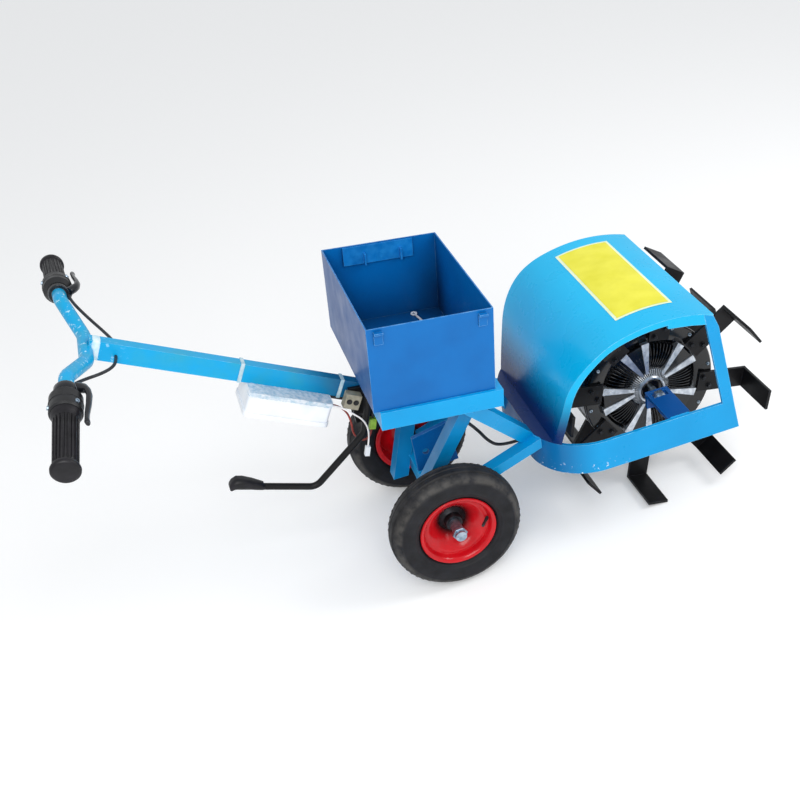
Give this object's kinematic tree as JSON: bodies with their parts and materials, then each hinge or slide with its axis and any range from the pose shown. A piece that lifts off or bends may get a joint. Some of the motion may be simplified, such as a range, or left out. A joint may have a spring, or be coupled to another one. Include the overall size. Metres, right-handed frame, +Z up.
{
  "type": "walk-behind weeder",
  "caption": "Low electric walk-behind weeder: a hooded hub-motor rotor with L-shaped blades, an open battery box on a two-wheeled frame, and a pole with a handlebar.",
  "frame": {"origin": "on the floor, under the middle of the machine's length and width, as it stands parked on its wheels and blades", "axes": "+X forward, towards the rotor hood; +Y to the machine's left; +Z up"},
  "size_m": [1.1782, 0.6816, 0.6026],
  "materials": {
    "blue_paint": "sky-blue enamel, glossy",
    "box_paint": "medium-blue enamel",
    "black_paint": "black, worn",
    "red_paint": "red enamel",
    "tyre_rubber": "matt",
    "motor_black": "satin black",
    "bare_steel": "satin",
    "grip_rubber": "matt",
    "black_plastic": "moulded",
    "white_plastic": "moulded",
    "cable_black": "sheath",
    "wire_red": "insulation",
    "wire_white": "insulation",
    "plug_green": "moulded"
  },
  "bodies": {
    "frame": {"battery_box": "box_paint", "box_frame": "blue_paint", "box_hooks": "box_paint", "hinge_plate": "box_paint", "axle_beam": "blue_paint", "wheel_shaft": "bare_steel", "wheel_nuts": "bare_steel", "rear_legs": "blue_paint", "side_braces": "blue_paint", "front_stays": "blue_paint", "guard_ring": "blue_paint", "hood": "blue_paint", "motor_brackets": "blue_paint", "motor_shaft": "bare_steel", "motor_nuts": "bare_steel", "pole": "blue_paint", "pole_cheeks": "black_paint", "handlebar": "blue_paint", "left_grip": "grip_rubber", "right_grip": "grip_rubber", "left_housing": "black_plastic", "right_housing": "black_plastic", "left_lever": "black_plastic", "right_lever": "black_plastic", "controller_case": "white_plastic", "controller_lid": "white_plastic", "cable_ties": "white_plastic", "rear_rest": "black_paint", "rest_pad": "grip_rubber", "battery_lead": "cable_black", "box_lead": "cable_black", "cable_gland": "black_plastic", "centre_gusset": "box_paint", "lead_plug": "wire_white", "lead_terminal": "wire_white", "left_cable": "cable_black", "motor_cable": "cable_black", "red_wire": "wire_red", "right_cable": "cable_black", "white_wire": "wire_white", "wire_connector": "white_plastic", "wire_plug": "plug_green"},
    "left_wheel": {"left_rim": "red_paint", "left_tyre": "tyre_rubber"},
    "right_wheel": {"right_rim": "red_paint", "right_tyre": "tyre_rubber"},
    "rotor": {"motor_shell": "motor_black", "left_blades": "black_paint", "right_blades": "black_paint"}
  },
  "joints": [
    {"name": "left_wheel_spin", "type": "hinge", "parent": "frame", "child": "left_wheel", "pos_m": [-0.0449, 0.155, 0.1195], "axis": [0, 1, 0], "continuous": true},
    {"name": "right_wheel_spin", "type": "hinge", "parent": "frame", "child": "right_wheel", "pos_m": [-0.0449, -0.155, 0.1195], "axis": [0, 1, 0], "continuous": true},
    {"name": "rotor_spin", "type": "hinge", "parent": "frame", "child": "rotor", "pos_m": [0.3891, 0, 0.2], "axis": [0, 1, 0], "continuous": true}
  ]
}
